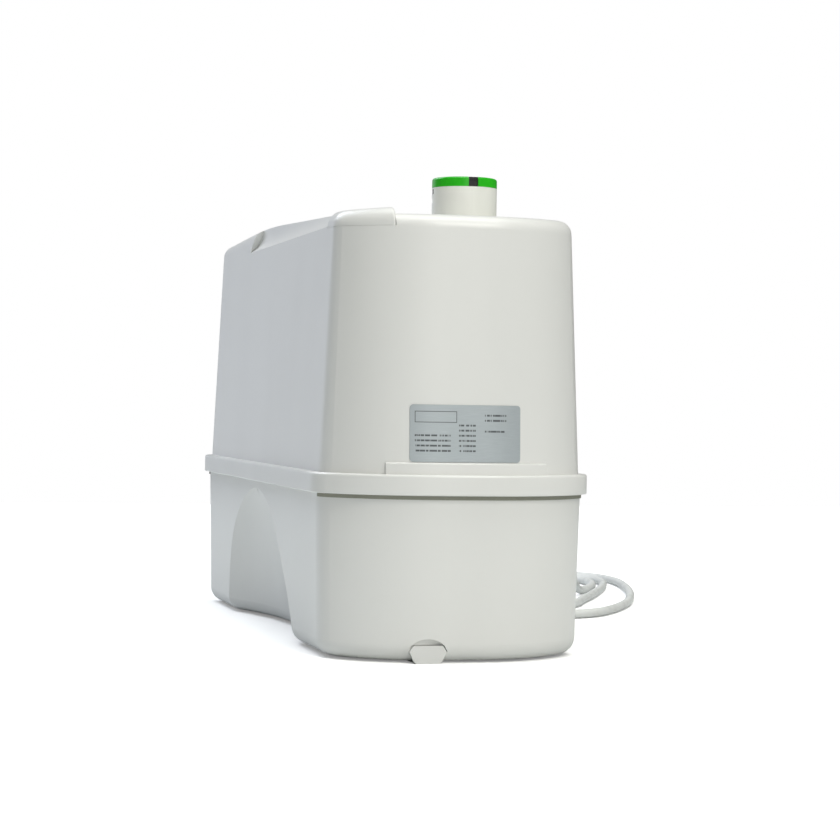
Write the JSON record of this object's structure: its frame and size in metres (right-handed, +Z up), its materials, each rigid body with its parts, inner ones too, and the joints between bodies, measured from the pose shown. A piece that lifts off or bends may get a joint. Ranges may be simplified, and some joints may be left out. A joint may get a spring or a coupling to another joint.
{
  "type": "sewage lifting unit",
  "caption": "Floor-standing sewage pump with cutter for one closet: moulded tank and cover, upright discharge spigot, rear closet collar, mains lead.",
  "frame": {"origin": "on the floor under the middle of the skirt's plan, at the middle foot pad", "axes": "+X along the unit towards the end that carries the bare rating plate, +Y towards the side with the closet collar, +Z up through the discharge spigot"},
  "size_m": [0.692, 0.374, 0.2889],
  "materials": {
    "white_shell": "glossy moulded white",
    "white_fitting": "satin moulded white",
    "white_pipe": "satin warm white",
    "black_rubber": "matt black",
    "green_ring": "glossy green",
    "inner_plastic": "matt dark grey",
    "carbon": "matt black carbon",
    "steel": "brushed stainless",
    "cast_aluminium": "cast",
    "copper": "enamelled copper wire",
    "lead_sheath": "satin light grey sheath",
    "nickel": "nickel plated",
    "plate": "satin silver foil"
  },
  "bodies": {
    "unit": {"tank": "white_shell", "cover": "white_shell", "cover_gasket": "black_rubber", "foot_pads": "black_rubber", "floor_brackets": "white_fitting", "discharge_spigot": "white_pipe", "spigot_sleeve": "black_rubber", "closet_collar": "black_rubber", "collar_band": "steel", "band_screw": "steel", "drain_plug": "black_rubber", "pump_deck": "inner_plastic", "deck_screws": "steel", "volute": "inner_plastic", "cutter_basket": "steel", "motor_housing": "cast_aluminium", "motor_bell": "cast_aluminium", "bearings": "steel", "shaft_seal": "black_rubber", "stator_core": "steel", "stator_windings": "copper", "motor_screws": "steel", "riser_pipe": "inner_plastic", "valve_body": "inner_plastic", "flap_pin": "steel", "pressure_bell": "inner_plastic", "switch_membrane": "black_rubber", "switch_housing": "inner_plastic", "run_capacitor": "white_fitting", "terminal_box": "inner_plastic", "terminal_lid": "inner_plastic", "cable_gland": "white_fitting", "gland_nut": "white_fitting", "strain_relief": "lead_sheath", "rating_plate": "plate", "power_cord": "lead_sheath", "plug_body": "lead_sheath", "plug_pins": "nickel"},
    "pump_rotor": {"rotor_shaft": "steel", "rotor_core": "steel", "impeller": "inner_plastic", "cutter": "steel"},
    "check_flap": {"valve_flap": "black_rubber"},
    "plunger": {"switch_plunger": "white_fitting"},
    "hose_ring": {"lock_ring": "green_ring"},
    "filter": {"filter_cap": "white_shell", "carbon_filter": "carbon"}
  },
  "joints": [
    {"name": "rotor_spin", "type": "hinge", "parent": "unit", "child": "pump_rotor", "pos_m": [0.045, -0.01, 0.11], "axis": [0, 0, 1], "continuous": true},
    {"name": "flap_swing", "type": "hinge", "parent": "unit", "child": "check_flap", "pos_m": [0.125, 0.02, 0.1275], "axis": [0, -1, 0], "range_deg": [0, 65]},
    {"name": "plunger_slide", "type": "slide", "parent": "unit", "child": "plunger", "axis": [0, 0, 1], "range_m": [0, 0.0012], "stiffness_N_per_m": 300, "springref_m": -0.001},
    {"name": "ring_turn", "type": "hinge", "parent": "unit", "child": "hose_ring", "pos_m": [0.14, 0.02, 0.2859], "axis": [0, 0, 1], "range_deg": [0, 40]},
    {"name": "filter_lift", "type": "slide", "parent": "unit", "child": "filter", "axis": [0, 0, 1], "range_m": [0, 0.025]}
  ]
}
